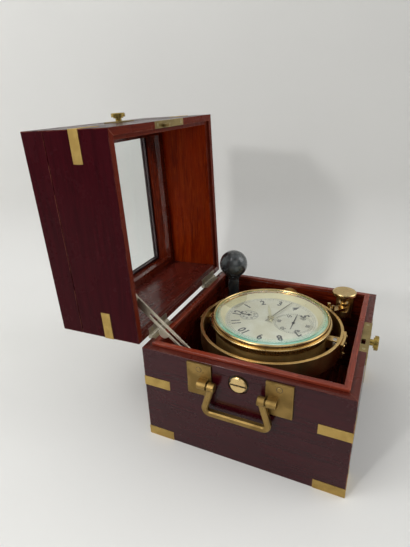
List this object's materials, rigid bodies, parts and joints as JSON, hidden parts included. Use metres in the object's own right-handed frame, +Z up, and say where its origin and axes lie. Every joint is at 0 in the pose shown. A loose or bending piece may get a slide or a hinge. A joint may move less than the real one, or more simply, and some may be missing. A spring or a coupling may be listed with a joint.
{
  "type": "marine chronometer",
  "caption": "Boxed marine chronometer: hinged three-tier hardwood case with brass straps and side handles, gimballed brass bowl with a silvered dial.",
  "frame": {"origin": "centre of the base's underside", "axes": "+Z up; -Y is the lock side and +Y the hinge side; the carrying handles are at -X and +X"},
  "size_m": [0.2114, 0.2982, 0.3021],
  "materials": {
    "wood_outer": "dark red-brown lacquered hardwood, high gloss",
    "wood_inner": "orange-brown mahogany, satin",
    "brass_polished": "polished brass",
    "brass_dull": "satin olive brass",
    "brass_grey": "tarnished grey brass",
    "brass_movement": "grained gilt brass",
    "black_grip": "black moulded plastic",
    "pane_glass": "clear flat glass",
    "crystal_glass": "thick bevelled glass",
    "dark_bead": "dark stained bead",
    "dial_silver": "silvered matt dial",
    "pivot_steel": "bright steel",
    "blued_steel": "blued steel"
  },
  "bodies": {
    "case": {"base_front_board": "wood_outer", "base_back_board": "wood_outer", "base_left_board": "wood_outer", "base_right_board": "wood_outer", "base_bottom_board": "wood_inner", "base_rim_lip": "wood_inner", "base_corner_straps": "brass_dull", "base_hinge_leaves": "brass_grey", "handle_plates": "brass_dull", "gimbal_pivot_screws": "brass_polished", "gimbal_flanges": "brass_polished", "lock_plate": "brass_grey", "gimbal_lock_bracket": "brass_polished", "key_holder": "wood_inner", "stay_stud": "brass_grey"},
    "tier": {"tier_front_board": "wood_outer", "tier_back_board": "wood_outer", "tier_left_board": "wood_outer", "tier_right_board": "wood_outer", "tier_inner_frame": "wood_inner", "tier_corner_straps": "brass_dull", "tier_hinge_leaves": "brass_grey", "tier_lock_plates": "brass_grey", "stay_bracket": "brass_grey"},
    "lid": {"lid_rails": "wood_outer", "lid_pane": "pane_glass", "lid_beads": "dark_bead", "lid_hinge_leaves": "brass_grey"},
    "stay": {"stay_arm": "brass_grey"},
    "lock_push": {"lock_button": "brass_dull"},
    "latch_push": {"lid_latch_button": "brass_dull"},
    "handle_left": {"handle_bail_left": "brass_dull"},
    "handle_right": {"handle_bail_right": "brass_dull"},
    "gimbal_lock": {"gimbal_lock_knob": "brass_polished"},
    "key": {"winding_key_grip": "black_grip", "winding_key_shank": "brass_polished"},
    "ring": {"gimbal_ring": "brass_polished", "ring_bearing_plates": "brass_polished"},
    "bowl": {"bowl_shell": "brass_polished", "bowl_trunnions": "pivot_steel", "bezel": "brass_polished", "crystal": "crystal_glass", "reflector_ring": "brass_polished", "dial_plate": "dial_silver", "pillar_plate": "brass_movement", "top_plate": "brass_movement", "balance_spring": "blued_steel"},
    "minute": {"minute_hand": "blued_steel"},
    "minute_gear": {"minute_wheel": "brass_movement"},
    "hour": {"hour_hand": "brass_movement"},
    "seconds": {"seconds_hand": "blued_steel", "fourth_wheel": "brass_movement"},
    "third": {"third_wheel": "brass_movement"},
    "centre": {"centre_wheel": "brass_movement"},
    "escape": {"escape_wheel": "brass_movement"},
    "balance": {"balance_wheel": "brass_movement"},
    "fusee": {"fusee": "brass_movement"},
    "barrel": {"mainspring_barrel": "brass_movement"},
    "reserve": {"reserve_hand": "blued_steel"},
    "shutter": {"winding_shutter": "brass_polished"}
  },
  "joints": [
    {"name": "case_hinge", "type": "hinge", "parent": "case", "child": "tier", "pos_m": [0, 0.0971, 0.10325], "axis": [-1, 0, 0], "range_deg": [-92, 0]},
    {"name": "lid_hinge", "type": "hinge", "parent": "tier", "child": "lid", "pos_m": [0, 0.16356, 0.10093], "axis": [-1, 0, 0], "range_deg": [0, 95]},
    {"name": "stay_swing", "type": "hinge", "parent": "tier", "child": "stay", "pos_m": [-0.081, 0.10885, 0.14597], "axis": [-1, 0, 0], "range_deg": [0, 71.36]},
    {"name": "lock_press", "type": "slide", "parent": "case", "child": "lock_push", "axis": [0, 1, 0], "range_m": [0, 0.0025], "stiffness_N_per_m": 400},
    {"name": "latch_press", "type": "slide", "parent": "tier", "child": "latch_push", "axis": [0, -0.0349, -0.9994], "range_m": [0, 0.0025], "stiffness_N_per_m": 400},
    {"name": "handle_left_swing", "type": "hinge", "parent": "case", "child": "handle_left", "pos_m": [-0.1015, 0, 0.084], "axis": [0, 1, 0], "range_deg": [0, 90]},
    {"name": "handle_right_swing", "type": "hinge", "parent": "case", "child": "handle_right", "pos_m": [0.1015, 0, 0.084], "axis": [0, -1, 0], "range_deg": [0, 90]},
    {"name": "gimbal_lock_turn", "type": "hinge", "parent": "case", "child": "gimbal_lock", "pos_m": [0.0684, -0.063, 0.089], "axis": [0, 0, 1], "range_deg": [0, 90]},
    {"name": "key_lift", "type": "slide", "parent": "case", "child": "key", "axis": [0, 0, 1], "range_m": [0, 0.025]},
    {"name": "ring_tilt", "type": "hinge", "parent": "case", "child": "ring", "pos_m": [0, 0, 0.089], "axis": [1, 0, 0], "range_deg": [-40, 40]},
    {"name": "bowl_tilt", "type": "hinge", "parent": "ring", "child": "bowl", "pos_m": [0, 0, 0.089], "axis": [0, 1, 0], "range_deg": [-40, 180]},
    {"name": "minute_turn", "type": "hinge", "parent": "bowl", "child": "minute", "pos_m": [0, 0, 0.089], "axis": [0, 0, -1], "continuous": true},
    {"name": "minute_gear_turn", "type": "hinge", "parent": "bowl", "child": "minute_gear", "pos_m": [0.01, 0, 0.089], "axis": [0, 0, -1], "continuous": true},
    {"name": "hour_turn", "type": "hinge", "parent": "bowl", "child": "hour", "pos_m": [0, 0, 0.089], "axis": [0, 0, -1], "continuous": true},
    {"name": "seconds_turn", "type": "hinge", "parent": "bowl", "child": "seconds", "pos_m": [0, -0.0234, 0.089], "axis": [0, 0, -1], "continuous": true},
    {"name": "third_turn", "type": "hinge", "parent": "bowl", "child": "third", "pos_m": [0.01581, -0.01265, 0.089], "axis": [0, 0, -1], "continuous": true},
    {"name": "centre_turn", "type": "hinge", "parent": "bowl", "child": "centre", "pos_m": [0, 0, 0.089], "axis": [0, 0, -1], "continuous": true},
    {"name": "escape_turn", "type": "hinge", "parent": "bowl", "child": "escape", "pos_m": [-0.01474, -0.01308, 0.089], "axis": [0, 0, -1], "continuous": true},
    {"name": "balance_swing", "type": "hinge", "parent": "bowl", "child": "balance", "pos_m": [-0.02434, -0.01308, 0.089], "axis": [0, 0, -1], "range_deg": [-135, 135], "stiffness_Nm_per_rad": 0.00018},
    {"name": "fusee_turn", "type": "hinge", "parent": "bowl", "child": "fusee", "pos_m": [0.01803, 0.01803, 0.089], "axis": [0, 0, -1], "continuous": true},
    {"name": "barrel_turn", "type": "hinge", "parent": "bowl", "child": "barrel", "pos_m": [-0.02404, 0.02202, 0.089], "axis": [0, 0, -1], "continuous": true},
    {"name": "reserve_turn", "type": "hinge", "parent": "bowl", "child": "reserve", "pos_m": [0, 0.0234, 0.089], "axis": [0, 0, -1], "continuous": true},
    {"name": "shutter_swing", "type": "hinge", "parent": "bowl", "child": "shutter", "pos_m": [0.00955, 0.00955, 0.0353], "axis": [0, 0, 1], "range_deg": [0, 60]}
  ],
  "couplings": [
    {"joint": "stay_swing", "follows": "case_hinge", "ratio": -0.77025},
    {"joint": "minute_turn", "follows": "seconds_turn", "ratio": 0.016667},
    {"joint": "minute_gear_turn", "follows": "seconds_turn", "ratio": -0.0055556},
    {"joint": "hour_turn", "follows": "seconds_turn", "ratio": 0.0013889},
    {"joint": "third_turn", "follows": "seconds_turn", "ratio": -0.13333},
    {"joint": "centre_turn", "follows": "seconds_turn", "ratio": 0.016667},
    {"joint": "escape_turn", "follows": "seconds_turn", "ratio": -8},
    {"joint": "fusee_turn", "follows": "seconds_turn", "ratio": -0.0022222},
    {"joint": "barrel_turn", "follows": "seconds_turn", "ratio": -0.0015926},
    {"joint": "reserve_turn", "follows": "seconds_turn", "ratio": 0.00024691}
  ]
}
